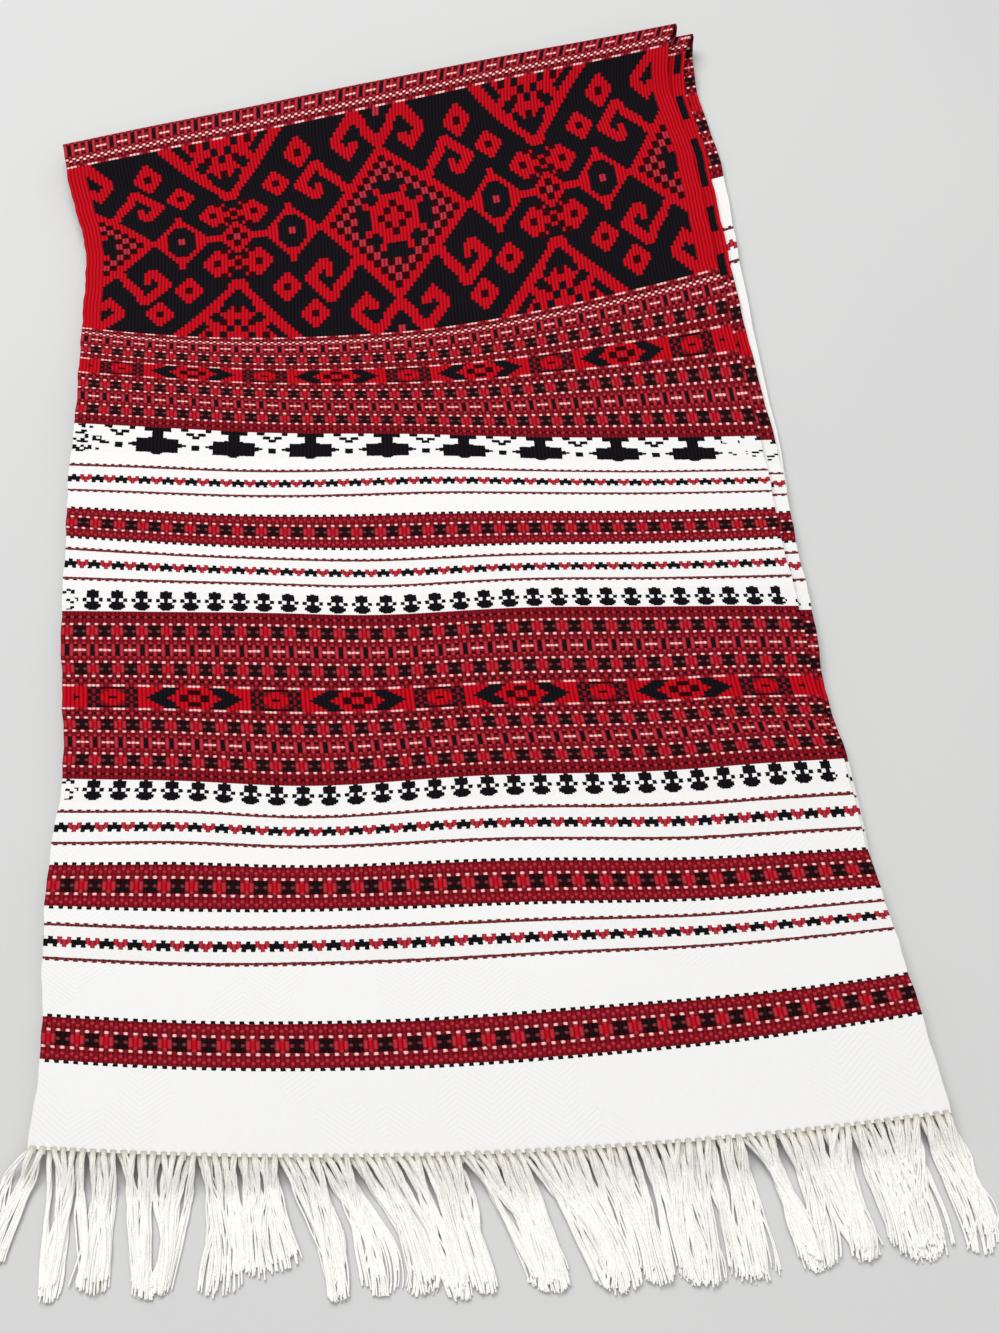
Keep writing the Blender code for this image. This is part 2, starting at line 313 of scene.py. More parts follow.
print("hills and hollows placed by hand:", len(CREASES))

# %% [markdown]
# ## Layers and folds
# The cloth follows the solid: four layers, two far folds and one near fold. A flat grid could be folded
# by a simulation, but then the bands would slip. Here each layer and each fold is a grid of its own,
# placed by the measures, and the next step joins them.

# %% Grids for a layer and for a fold
COLUMNS = 100
SHARE = np.linspace(0, 1, COLUMNS + 1)


def layer_grid(layer, woven):
    """Points of one layer: a line across the cloth for each woven distance."""
    woven, share = np.asarray(woven)[:, None], SHARE[None, :]
    x, y = place_on_table(woven, share)
    z = layer_height(layer, woven, share)
    if layer == TOP:
        y, z = uneven(woven, share, y, z)
    return np.stack([x + slide(layer, woven) + selvedge(woven, share), y, z], axis=-1)


def bend_grid(above, below, start, tip, share_of_turn):
    """Points around a fold from the layer above to the one below; share_of_turn goes from 0 to 1."""
    angle = (math.pi / 2 - math.pi * np.asarray(share_of_turn))[:, None]
    share = SHARE[None, :]
    woven = start + (tip - start) * np.cos(angle) + 0 * share
    x, y = place_on_table(woven, share)
    mix = (1 + np.sin(angle)) / 2
    high, low = (layer_grid(n, [start])[0, :, 2] for n in (above, below))
    x = x + slide(above, woven) * mix + slide(below, woven) * (1 - mix) + selvedge(woven, share)
    return np.stack([x, y, low + (high - low) * mix], axis=-1)


print("points in a line across the cloth:", COLUMNS + 1)

# %% [markdown]
# ## The whole length of cloth
# From its upper end the cloth runs back over the top layer, round the outer fold to the bottom, forward
# to the near fold, back again, and round the inner fold to its lower end. An even grid would be simpler,
# but a face can have only one chart, so every band edge gets a line of points of its own.

# %% Follow the cloth from end to end
LINE_SPACING = {TOP: 3.0, SECOND: 6.0, THIRD: 12.0, BOTTOM: 14.0}
TURN = np.arange(1, 10) / 10
# millimetres of pattern in a far fold and in the near fold
FAR_WOVEN, NEAR_WOVEN = 14.0, 3.0


def stations(start, finish, pattern_start, pattern_finish, spacing):
    """Places along a run: every band edge, and points between them no further apart than the spacing."""
    low, high = sorted((pattern_start, pattern_finish))
    edges = [pattern_start, *(p for p in BAND_STARTS if low < p < high), pattern_finish]
    edges.sort(reverse=pattern_start > pattern_finish)
    out = [edges[0]]
    for a, b in zip(edges, edges[1:]):
        pieces = max(1, math.ceil(abs(b - a) / spacing))
        out += list(np.linspace(a, b, pieces + 1)[1:])
    out = np.array(out)
    return start + (finish - start) * (out - pattern_start) / (pattern_finish - pattern_start), out


def whole_path():
    """Points and pattern distances of every line across the cloth, from its upper end to its lower end."""
    outer_start, inner_start = OUTER_BEND[0], INNER_BEND[0]
    past = outer_start + FAR_WOVEN
    near_start = past + outer_start - NEAR_FOLD
    inner_end = inner_start + FAR_WOVEN
    grids, pattern = [], []

    def add(grid, distances):
        grids.append(grid)
        pattern.append(np.asarray(distances, float))

    def add_layer(layer, start, finish, pattern_start, pattern_finish):
        run = stations(start, finish, pattern_start, pattern_finish, LINE_SPACING[layer])
        add(layer_grid(layer, run[0]), run[1])

    add_layer(TOP, 0, outer_start, 0, outer_start)
    add(bend_grid(TOP, BOTTOM, *OUTER_BEND, TURN), outer_start + FAR_WOVEN * TURN)
    add_layer(BOTTOM, outer_start, NEAR_FOLD, past, near_start)
    near_tip = NEAR_FOLD - LAYER_STEP / 2
    add(bend_grid(THIRD, BOTTOM, NEAR_FOLD, near_tip, TURN)[::-1], near_start + NEAR_WOVEN * TURN)
    add_layer(THIRD, NEAR_FOLD, inner_start, near_start, inner_end)
    add(bend_grid(SECOND, THIRD, *INNER_BEND, TURN)[::-1], inner_end - FAR_WOVEN * TURN)
    add_layer(SECOND, inner_start, SECOND_HEM, inner_start, SECOND_HEM)
    return np.concatenate(grids), np.concatenate(pattern)


middle, pattern = whole_path()
LINES = len(middle)
print("lines across the cloth:", LINES)

# %% [markdown]
# ## A sheet with two skins
# Real cloth has a face, a back and thin edges, and all three show where the layers end at the right. A
# single skin with a thickness modifier would do, but the diamond field's back looks different from its
# face. So both skins and the edges are made as faces, each with its own chart and place in it.

# %% Faces of the sheet


def two_skins(middle):
    """The cloth's face and its back, half a thickness to each side of its middle."""
    along, across = np.gradient(middle, axis=0), np.gradient(middle, axis=1)
    normal = np.cross(across, along)
    normal /= np.linalg.norm(normal, axis=2, keepdims=True)
    return middle + normal * THICKNESS / 2, middle - normal * THICKNESS / 2


def sheet_faces():
    """For each face: its corners, their places in the chart, and the number of the chart."""
    back = LINES * (COLUMNS + 1)
    faces, corners, slots = [], [], []

    def add(face, uv, slot):
        faces.append(face)
        corners.extend(uv)
        slots.append(slot)

    for k in range(LINES - 1):
        band = band_of(pattern[k], pattern[k + 1])
        chart = BANDS[band][1]
        slot = CHARTS.index(chart)
        back_slot = CHARTS.index("back" if chart == "field" else chart)
        v0, v1 = chart_row(band, pattern[k]), chart_row(band, pattern[k + 1])
        for i in range(COLUMNS):
            a, b = k * (COLUMNS + 1) + i, (k + 1) * (COLUMNS + 1) + i
            u0, u1 = STEPS_ACROSS * i / COLUMNS, STEPS_ACROSS * (i + 1) / COLUMNS
            add((a, a + 1, b + 1, b), ((u0, v0), (u1, v0), (u1, v1), (u0, v1)), slot)
            under = (back + a, back + b, back + b + 1, back + a + 1)
            add(under, ((u0, v0), (u0, v1), (u1, v1), (u1, v0)), back_slot)
        for i, u, order in ((0, 0.5, 1), (COLUMNS, STEPS_ACROSS - 0.5, -1)):
            a, b = k * (COLUMNS + 1) + i, (k + 1) * (COLUMNS + 1) + i
            add((a, b, back + b, back + a)[::order], ((u, v0), (u, v1), (u, v1), (u, v0))[::order], slot)
    for k, order in ((0, -1), (LINES - 1, 1)):
        for i in range(COLUMNS):
            a = k * (COLUMNS + 1) + i
            hem_place = (STEPS_ACROSS * i / COLUMNS, 0.5)
            add((a, a + 1, back + a + 1, back + a)[::order], (hem_place,) * 4, CHARTS.index("plain"))
    return faces, corners, slots


faces, corners, slots = sheet_faces()
print("faces of the sheet:", len(faces))

# %% [markdown]
# ## The sheet as an object
# The faces become one mesh, smooth all over except along its thin edges. The edges could be bevelled,
# but at 1.2 mm a sharp turn looks the same and keeps the mesh small.

# %% Build the sheet
SHARP_EDGE = math.radians(50)


def build_sheet():
    points = np.concatenate([skin.reshape(-1, 3) for skin in two_skins(middle)])
    points[:, 0] -= SHIFT[0]
    points[:, 1] -= SHIFT[1]
    mesh = bpy.data.meshes.new("towel_sheet")
    mesh.from_pydata(points * MM, [], faces)
    mesh.uv_layers.new(name="Chart").data.foreach_set("uv", np.array(corners, np.float32).ravel())
    mesh.polygons.foreach_set("material_index", slots)
    mesh.shade_smooth()
    mesh.set_sharp_from_angle(angle=SHARP_EDGE)
    made = bpy.data.objects.new("towel_sheet", mesh)
    bpy.context.scene.collection.objects.link(made)
    return made


sheet = build_sheet()
print("sheet triangles:", sum(len(p.vertices) - 2 for p in sheet.data.polygons))

# %% [markdown]
# ## The ornament as charts
# A weaver reads the ornament from squared paper, a letter for each step of 2 mm. Here W is the white
# ground, C its dark red, K black, R bright red, P a pale dash, S a small red figure, B a bead of a thin
# line, and D a dark thread in a red figure. Letters are easy to check by eye against the cloth, and
# rows that come back in several bands are named once.

# %% Charts of the red bands
YARNS = "WCKRPSBD"
TEETH = ["KWKWKW"]
NET = ["CCCCCC", "CSCSCS", "SCSCSC", "CCCCCC"]
STARS = ["CCCCCC", "PCPCPC", "DDDCSC", "KKKSRS", "BDBSRS", "KKKSRS", "DDDCSC", "CPCPCP", "CCCCCC"]
LADDER = ["DSDSDS", "CCCCCC"]
SHORT_DASHES = ["SCSPPP"]
LONG_DASHES = ["SCSCSC", "DSDSDS", "CSCSKS", "PPPSKS", "CSCSKS", "DSDSDS", "SCSCSC"]
BRIM_FROM = 12

narrow_chart = TEETH + NET + STARS[1:-1] + NET + TEETH
# a wide band from its edge to its middle
half_chart = (
    ["CCCCCC"] + LADDER[::-1] + ["CCCCCC"] + STARS[::-1] + LONG_DASHES + STARS[::-1] + LADDER + SHORT_DASHES
)
# the side of a wide band next to the diamonds, read from its middle
short_chart = (
    SHORT_DASHES + LADDER + STARS[::-1] + LONG_DASHES + ["CPCPCP", "PCPCPC"] + LADDER + SHORT_DASHES
)
brim_chart = short_chart[:BRIM_FROM - 1:-1]
print("rows of a narrow and of half a wide band:", len(narrow_chart), len(half_chart))

# %% [markdown]
# ## Small figures on white
# On the white ground stand small figures: hearts and crosses between beaded lines, black eights, and
# black drops that hang from the wide band. They are finer than the red bands, so they are drawn on
# steps and rows of half the size. Each is a few overlapping shapes, which is shorter than its letters.

# %% Charts of the small figures


def drawn(across, rows, *figures):
    """Figures on white: each is a letter and a shape, laid over the ones before it."""
    x, y = np.meshgrid(np.arange(across) + 0.5, np.arange(rows) + 0.5)
    chart = np.full(x.shape, "W")
    for code, where in figures:
        chart[where(x, y)] = code
    return ["".join(row) for row in chart]


# two thin beaded lines with a row of small black and red figures between them
line_chart = drawn(
    12, 30,
    ("B", lambda x, y: (abs(abs(y - 15) - 13) < 0.7) | (abs(x % 4 - 2) < 1.2) & (abs(y - 15) > 12)),
    ("K", lambda x, y: (abs(x - 3) < 1.1) & (abs(y - 12.5) < 1.6)),
    ("K", lambda x, y: (abs(x - 3) < 3.1) & (abs(y - 15) < 2.1)),
    ("K", lambda x, y: (abs(abs(x - 3) - 2.2) < 1.1) & (abs(y - 17.6) < 1.6)),
    ("S", lambda x, y: (abs(abs(x - 9) - 2.0) < 1.1) & (abs(y - 12.2) < 1.5)),
    ("S", lambda x, y: (abs(x - 9) < 3.1 - 0.4 * np.maximum(y - 14.5, 0)) & (abs(y - 15) < 2.1)),
    ("S", lambda x, y: (abs(x - 9) < 1.1) & (abs(y - 17.6) < 1.6)),
)
# two round black spots joined by a neck, with a dot on each side of it
eights_chart = drawn(
    12, 18,
    ("K", lambda x, y: (abs(x - 6) / 3.5) ** 2.4 + (abs(y - 3.9) / 3.6) ** 2.4 < 1),
    ("K", lambda x, y: (abs(x - 6) / 3.7) ** 2.4 + (abs(y - 13.4) / 3.8) ** 2.4 < 1),
    ("K", lambda x, y: (abs(x - 6) < 1.4) & (abs(y - 8.5) < 3)),
    ("K", lambda x, y: (abs(abs(x - 6) - 4.1) < 1.1) & (abs(y - 8.5) < 1.9)),
)
DROP_REPEAT = 40


def dot(step, row, tall=1.75):
    """A black dot of the V between two drops; it goes on over the end of the repeat."""
    def where(x, y):
        away = abs(x - step)
        return (np.minimum(away, DROP_REPEAT - away) < 1.9) & (abs(y - row) < tall)
    return "K", where


drops_chart = drawn(
    DROP_REPEAT, 26,
    ("K", lambda x, y: (abs(x - 20) < 6.6) & (y < 4.4)),
    ("K", lambda x, y: (abs(x - 20) < 2.9) & (y < 13)),
    ("K", lambda x, y: (abs(x - 20) < 10.9) & (y < 24.5) & (y > 11 + 2 * (abs(abs(x - 20) - 4.6) < 1.9))),
    ("K", lambda x, y: abs(x - 20) < 15.4 - 1.6 * abs(y - 17)),
    dot(6.4, 1.7), dot(33.6, 1.7), dot(3.3, 5.3), dot(36.7, 5.3), dot(0, 8.6), dot(0, 18.2, 2.6),
)
print("\n".join(eights_chart))

# %% [markdown]
# ## The middle of a wide band
# Along the middle of a wide band run a red lozenge with dark threads, a black arrow, a bright block,
# checks and a small lozenge, and then the same the other way round. Half of the repeat is enough, and
# each figure is a slope that grows or shrinks from row to row, so the chart is written by a loop.

# %% Chart of the middle band
CROSS_ROWS, CROSS_STEPS = 9, 20


def cross_letter(row, step):
    """The yarn at one step from the lozenge's middle, in one row of the chart."""
    v = abs(row - CROSS_ROWS // 2)
    from_end = CROSS_STEPS - 0.5 - step
    if step < 6.7 - 0.85 * v:
        if step == 0 and v == 0:
            return "S"
        return "D" if (step <= 1 and v in (2, 3)) or (1 < step <= 3 and v < 2) else "R"
    if step < 11.3 - 1.05 * v:
        return "K"
    if step <= 13:
        return "R"
    if step <= 16:
        return "K" if (step + int(row / 1.5)) % 2 == 0 else "C"
    if from_end < 1 and v == 0:
        return "D"
    if from_end + 0.8 * v <= 3.6:
        return "R"
    return "D" if v == CROSS_ROWS // 2 else "C"


cross_chart = ["".join(cross_letter(row, step) for step in range(CROSS_STEPS)) for row in range(CROSS_ROWS)]
print("\n".join(cross_chart))

# %% [markdown]
# ## The diamond field
# The widest band repeats one figure, turned over left and right and up and down, so a quarter of it is
# enough. It could be written in letters like the narrow bands, but its figures are slanted and large.
# Strokes and diamonds on a fine grid turn into stepped edges by themselves, as they do in a weave.

# %% Squared paper for the field
# x and y are steps of 2 mm from the middle of the big diamond; a cell is one such step
FIELD_ACROSS, FIELD_ROWS = 46, 31
x, y = np.meshgrid((np.arange(FIELD_ACROSS) + 0.5) / 2, (np.arange(FIELD_ROWS) + 0.5) / 2)
cell_x, cell_y = np.floor(x + 0.5), np.floor(y + 0.5)
field = np.full(x.shape, "K")


def put(where, code):
    field[where] = code


def diamond(cx, cy, radius, code):
    put(np.abs(x - cx) + np.abs(y - cy) <= radius, code)


def square(cx, cy, code):
    put((cell_x == cx) & (cell_y == cy), code)


def stroke(points, width):
    """A red line with round corners through a few points."""
    for (ax, ay), (bx, by) in zip(points, points[1:]):
        run = (bx - ax) ** 2 + (by - ay) ** 2
        t = np.clip(((x - ax) * (bx - ax) + (y - ay) * (by - ay)) / run, 0, 1)
        put(np.hypot(x - ax - t * (bx - ax), y - ay - t * (by - ay)) <= width / 2, "R")


print("squared paper:", field.shape)

# %% [markdown]
# ## Star and slanting bands
# Between the diamonds stands half a star with dark rings, and slanting bands frame it. The shapes could
# be cut so that none overlap, but what is drawn later covers what came before. So the star comes first,
# because the diamonds and rosettes lie over its ends.

# %% Half star and slanting bands
diamond(23, 16, 6.3, "R")
ring = np.abs(cell_x - 23) + np.abs(cell_y - 16)
put(ring == 3, "K")
put((ring == 5) & (cell_x % 2 == 1), "D")
square(23, 16, "D")
diamond(19.4, 12.2, 1.9, "R")
diamond(19.9, 12.2, 1.0, "K")
put((y >= 8) & (y <= 10.3) & (np.abs(x - 23) <= y - 7.6), "K")
stroke([(23, 6.9), (14.4, 16)], 1.35)
square(0, 15, "S")
print("red steps so far:", int((field == "R").sum()))

# %% [markdown]
# ## Big diamond and rosette
# The big red diamond has rings of dark and pale threads and black marks around its middle. Beside it
# stands an eight-sided rosette with a pale heart, joined to both neighbours by a thin band. They could
# be lists of cells, but a diamond is one rule: the same distance from its middle, counted along threads.

# %% Big diamond, rosette and joining band
diamond(0, 0, 11.2, "R")
for ring, code in ((9, "D"), (8, "S"), (7, "D"), (2, "D")):
    put(cell_x + cell_y == ring, code)
for a, b in ((cell_x, cell_y), (cell_y, cell_x)):
    put((b == 5) & (a <= 2) | (b == 4) & (a <= 1), "K")
diamond(3, 3, 1.3, "K")
square(0, 6, "S")
square(6, 0, "S")
from_rosette = np.abs(x - 15)
put((from_rosette + 0.9 * y <= 4.1) & (from_rosette <= 3.3), "R")
put((from_rosette + y <= 3.1) & (from_rosette <= 2.2) & (y <= 2.4), "K")
put((from_rosette <= 0.3) & (y <= 0.3), "S")
stroke([(11, 0), (12, 0)], 0.9)
stroke([(18, 0), (23, 0)], 0.9)
diamond(23, 0, 2.6, "R")
put(np.abs(cell_x - 23) + cell_y == 1, "D")
square(23, 0, "S")
print("red steps so far:", int((field == "R").sum()))

# %% [markdown]
# ## Small rosettes and hooks
# A chain of small rosettes climbs beside the big diamond, and hooks like rams' horns grow out of it.
# A hook is only a bent stroke, so two short lists of points give all eight hooks of the figure.

# %% Small rosettes and hooks
HOOKS = (
    ((5.9, 5.2), (9.8, 10.0), (12.6, 7.0), (10.7, 5.0), (10.0, 6.1)),
    ((0.0, 11.0), (3.4, 15.2), (6.4, 12.4), (4.7, 10.4), (3.9, 11.5)),
)
stroke([(20.9, 1.9), (23, 4), (20.9, 6.1)], 1.2)
for cx, cy in ((20, 4), (16, 8), (12, 12)):
    diamond(cx, cy, 2.3, "R")
    away_x, away_y = np.abs(x - cx), np.abs(y - cy)
    put((np.abs(away_x - away_y) > 2) & (away_x + away_y <= 2.5), "R")
    square(cx, cy, "D")
for k in range(3):
    square(23 - k, 4 - k, "D")
    square(23 - k, 4 + k, "D")
for hook in HOOKS:
    stroke(hook, 1.4)
field_quarter = ["".join(row) for row in field]
print("a quarter of the field:", len(field_quarter), "rows of", len(field_quarter[0]), "steps")

# %% [markdown]
# ## How each chart repeats
# A chart is only one repeat, so it needs to know where on the cloth a repeat starts, how wide it is,
# whether it is turned over each time, and how fine its steps are. The figures stand at the same places
# as on the real cloth, counted in steps from its left edge.

# %% List of the charts
CHART_ROWS = {
    # rows, where a repeat starts, steps in it, whether it is mirrored, steps to each 2 mm
    "narrow": (narrow_chart[::-1], 3, 6, False, 1),
    "line": (line_chart[::-1], 0, 12, False, 2),
    "eights": (eights_chart[::-1], 9, 12, False, 2),
    "half": (half_chart, 3, 6, False, 1),
    "cross": (cross_chart, 31.5, 19.5, True, 1),
    "short": (short_chart, 3, 6, False, 1),
    "brim": (brim_chart, 3, 6, False, 1),
    "drops": (drops_chart, 24, DROP_REPEAT, False, 2),
    "field": (field_quarter, 90, FIELD_ACROSS, True, 1),
    "back": (field_quarter, 90, FIELD_ACROSS, True, 1),
}
for name, (rows, *_) in CHART_ROWS.items():
    print(f"{name}: {len(rows)} rows of {len(rows[0])} steps")

# %% [markdown]
# ## Yarns
# The cotton is dyed in a few deep shades. Red and black pattern yarn floats over the white ground, so
# it stands a little higher. Colours and heights could sit in each material, but with one list for all
# the bands the whole towel looks dyed in one go.

# %% Colours and heights of the yarns
YARN_COLOURS = {
    "W": (0.74, 0.735, 0.725),
    "C": (0.165, 0.004, 0.009),
    "K": (0.005, 0.004, 0.006),
    "R": (0.42, 0.002, 0.008),
    "P": (0.80, 0.42, 0.40),
    "S": (0.36, 0.018, 0.030),
    "B": (0.15, 0.022, 0.022),
    "D": (0.022, 0.001, 0.002),
}
YARN_HEIGHTS = {"W": 0.0, "C": 0.20, "K": 0.34, "R": 0.34, "P": 0.50, "S": 0.28, "B": 0.2, "D": 0.12}
print("yarns:", len(YARN_COLOURS))

# %% [markdown]
# ## A helper for wiring materials
# A weave needs a few dozen nodes, and adding, setting and linking them one by one would bury the idea.
# This small class adds one node a call and gives back its output, so a material reads like arithmetic.

# %% Node helper
# sockets of Blender's Mix node when it mixes colours
MIX_SHARE, MIX_A, MIX_B, MIX_RESULT = 0, 6, 7, 2


class Sketch:
    """A material being wired: each call adds one node and gives back its first output."""

    def __init__(self, name):
        self.material = bpy.data.materials.new(name)
        self.material.use_nodes = True
        self.tree = self.material.node_tree
        self.tree.nodes.clear()

    def node(self, kind, *inputs, **settings):
        made = self.tree.nodes.new("ShaderNode" + kind)
        for key, value in settings.items():
            setattr(made, key, value)
        for socket, value in zip(made.inputs, inputs):
            self.feed(socket, value)
        return made

    def feed(self, socket, value):
        if isinstance(value, bpy.types.NodeSocket):
            self.tree.links.new(value, socket)
        elif value is not None:
            socket.default_value = value

    def math(self, operation, *inputs):
        return self.node("Math", *inputs, operation=operation).outputs[0]

    def vector(self, operation, *inputs):
        made = self.node("VectorMath", operation=operation)
        for socket, value in zip([s for s in made.inputs if s.enabled], inputs):
            self.feed(socket, value)
        return [s for s in made.outputs if s.enabled][0]

    def ramp(self, at, colours, constant=True):
        made = self.node("ValToRGB", at)
        ramp = made.color_ramp
        ramp.interpolation = "CONSTANT" if constant else "LINEAR"
        while len(ramp.elements) < len(colours):
            ramp.elements.new(1.0)
        for k, colour in enumerate(colours):
            ramp.elements[k].position = k / len(colours) if constant else k / (len(colours) - 1)
            ramp.elements[k].color = (*colour, 1)
        return made.outputs[0]

    def noise(self, at, scale, detail=2.0):
        made = self.node("TexNoise", at)
        made.inputs["Scale"].default_value = scale
        made.inputs["Detail"].default_value = detail
        return made.outputs[0]

    def mix(self, share, a, b, blend="MIX"):
        made = self.node("Mix", data_type="RGBA", blend_type=blend)
        self.feed(made.inputs[MIX_SHARE], share)
        self.feed(made.inputs[MIX_A], a)
        self.feed(made.inputs[MIX_B], b)
        return made.outputs[MIX_RESULT]

    def choose(self, mask, number, other):
        """The number, or the other one where the mask is 1."""
        kept = self.math("MULTIPLY", number, self.math("SUBTRACT", 1.0, mask))
        return self.math("ADD", kept, self.math("MULTIPLY", mask, other))

    def shaded(self, colour, shade):
        """The colour made darker by a number below 1."""
        grey = self.node("CombineXYZ", shade, shade, shade).outputs[0]
        return self.mix(1.0, colour, grey, "MULTIPLY")

    def finish(self, colour, roughness, gloss=None, relief=None, strength=1.0, depth=0.001):
        """Wire the shader with its relief, if it has one, and give back the material."""
        shader = self.node("BsdfPrincipled", colour)
        shader.inputs["Roughness"].default_value = roughness
        if gloss is not None:
            shader.inputs["Specular IOR Level"].default_value = gloss
        if relief is not None:
            bump = self.node("Bump")
            bump.inputs["Strength"].default_value = strength
            bump.inputs["Distance"].default_value = depth
            self.feed(bump.inputs["Height"], relief)
            self.feed(shader.inputs["Normal"], bump.outputs[0])
        self.feed(self.node("OutputMaterial").inputs["Surface"], shader.outputs[0])
        return self.material


print("kinds of node that the helper knows:", [name for name in vars(Sketch) if name[0] != "_"])

# %% [markdown]
# ## Punch cards for the weave
# A mechanical loom reads holes in cards: a hole lifts a thread. An image of the ornament would be the
# usual way here, but a material can hold the cards themselves. Each row of a chart becomes one colour
# of a ramp, and the bits of its red, green and blue say which of the eight yarns is on top at each of
# 16 steps. Wider charts use several cards, and a chart has at most 32 rows, as a ramp has 32 colours.

# %% Write and read the cards
CARD_STEPS = 16
CARD_PLACES = 2 ** CARD_STEPS


def card_colours(rows, first_step):
    """One colour a row: the three channels hold the three bits of each step's yarn."""
    out = []
    for row in rows:
        steps = row[first_step:first_step + CARD_STEPS].ljust(CARD_STEPS, "W")
        numbers = [YARNS.index(code) for code in steps]
        out.append(tuple(
            sum(((n >> bit) & 1) << (CARD_STEPS - 1 - k) for k, n in enumerate(numbers)) / CARD_PLACES
            for bit in range(3)
        ))
    return out


def yarn_number(m, step, row, rows):
    """Read the cards: which yarn is on top at this step of this row."""
    at_row = m.math("DIVIDE", m.math("ADD", row, 0.5), float(len(rows)))
    cards = [m.ramp(at_row, card_colours(rows, first)) for first in range(0, len(rows[0]), CARD_STEPS)]
    bits = cards[0]
    for k, card in enumerate(cards[1:], 1):
        bits = m.mix(m.math("GREATER_THAN", step, CARD_STEPS * k - 0.5), bits, card)
    # moved left by as many places as there are steps before this one, the next bit is worth a half
    place = m.math("POWER", 2.0, m.math("MODULO", step, float(CARD_STEPS)))
    half_a_place = 0.5 / CARD_PLACES
    moved = m.node("VectorMath", operation="SCALE")
    m.feed(moved.inputs[0], m.vector("ADD", bits, (half_a_place,) * 3))
    m.feed(moved.inputs["Scale"], place)
    rest = m.vector("FRACTION", moved.outputs[0])
    bit = m.vector("FLOOR", m.vector("MULTIPLY", rest, (2.0, 2.0, 2.0)))
    number = m.node("VectorMath", operation="DOT_PRODUCT")
    m.feed(number.inputs[0], bit)
    m.feed(number.inputs[1], (1.0, 2.0, 4.0))
    return number.outputs["Value"]


print("first row of the field on a card:", [round(c, 5) for c in card_colours(field_quarter, 0)[0]])

# %% [markdown]
# ## Beside the selvedges
# Near its edges the real ornament changes: the black figures on white break up into crumbs of loose
# yarn, the middle band ends in a red block, and the diamond field in a red border. Charts for that would
# be as wide as the cloth. It is shorter to change the yarn's number by its distance from the edge.

# %% Find the yarn at a place
# steps of 2 mm from the edge: where figures fall into crumbs, and how wide the red block and border are
CRUMBS_REACH = {"drops": 10.0, "eights": 3.6}
BLOCK_REACH, BORDER_REACH = 2.7, 5.2
# a thread stays where the scatter, from 0 to 1, is above this
CRUMBS_LEFT = 0.66
# the border's dark patches on the back of the field: rows between them, how much of these is dark,
# where they stand and their half width, in steps from the edge
PATCH_REPEAT, PATCH_SHARE, PATCH_PLACE, PATCH_HALF = 13.0, 0.55, 2.3, 1.1
REPEATS_AHEAD, LAST_ROW_EDGE = 10.0, 0.01


def crumbs(m, across, along):
    """A scatter of single threads, the same in each run: 1 where a thread stays."""
    pair = m.math("FLOOR", m.math("DIVIDE", along, 2.0))
    thread = m.math("MULTIPLY_ADD", pair, 78.233, m.math("MULTIPLY", m.math("FLOOR", across), 12.99))
    scatter = m.math("FRACT", m.math("MULTIPLY", m.math("SINE", thread), 437.585))
    return m.math("GREATER_THAN", scatter, CRUMBS_LEFT)


def beside_selvedge(m, chart, number, across, along):
    """The same number, changed where the place is near the edge of the cloth."""
    half, red = STEPS_ACROSS / 2, float(YARNS.index("R"))
    from_edge = m.math("SUBTRACT", half, m.math("ABSOLUTE", m.math("SUBTRACT", across, half)))
    if chart in CRUMBS_REACH:
        kept = m.math("GREATER_THAN", from_edge, CRUMBS_REACH[chart])
        return m.math("MULTIPLY", number, m.math("MAXIMUM", kept, crumbs(m, across, along)))
    if chart == "cross":
        return m.choose(m.math("LESS_THAN", from_edge, BLOCK_REACH), number, red)
    if chart == "back":
        patch = m.math("LESS_THAN", m.math("FRACT", m.math("DIVIDE", along, PATCH_REPEAT)), PATCH_SHARE)
        inside = m.math("COMPARE", from_edge, PATCH_PLACE, PATCH_HALF)
        red = m.math("SUBTRACT", red, m.math("MULTIPLY", patch, inside))
    return m.choose(m.math("LESS_THAN", from_edge, BORDER_REACH), number, red)


def find_yarn(m, chart, across, along):
    """The number of the yarn on top at a place in this band."""
    rows, origin, repeat, mirrored, fine = CHART_ROWS[chart]
    u, v = m.math("MULTIPLY", across, float(fine)), along
    if mirrored:
        # the middle band's figures are centred on a step, the field's between two steps
        centring = 0.5 if chart == "cross" else 0.0
        far = m.math("PINGPONG", m.math("ABSOLUTE", m.math("SUBTRACT", u, float(origin))), float(repeat))
        step = m.math("FLOOR", m.math("ADD", far, centring))
    else:
        # some repeats more keep the place above zero, also to the left of the origin
        ahead = repeat * REPEATS_AHEAD - origin
        step = m.math("FLOOR", m.math("MODULO", m.math("ADD", u, ahead), float(repeat)))
    if chart in ("field", "back"):
        v = m.math("ABSOLUTE", m.math("SUBTRACT", v, float(FIELD_ROWS)))
    row = m.math("FLOOR", m.math("MAXIMUM", m.math("MINIMUM", v, len(rows) - LAST_ROW_EDGE), 0.0))
    number = yarn_number(m, step, row, rows)
    if chart in ("cross", "field", "back", *CRUMBS_REACH):
        return beside_selvedge(m, chart, number, across, v)
    return number


print("bands that change beside the selvedges: cross, field, back,", ", ".join(CRUMBS_REACH))

# %% [markdown]
# ## The woven finish
# Up close the cloth is coarse cotton: ribs 2 mm apart run along it, each float is round with painted shade
# at
#  its sides, its edges are a little ragged, and the white ground has a faint point twill. A bump alone over
#  flat colour looks printed. So the same ribs paint shade into the colour between them and lift the
#  surface, and a fine noise moves the place at which the chart is read, which frays the edges of the
#  figures.

# %% Weave material
HALF_SIZE_ROWS = ("line", "eights", "drops")
# how fine the fraying noise is across and along the cloth, and how many steps it reaches
STRAY_SCALES, STRAY_REACH = (900.0, 700.0), 0.5
GRAIN_SCALE = 2600.0
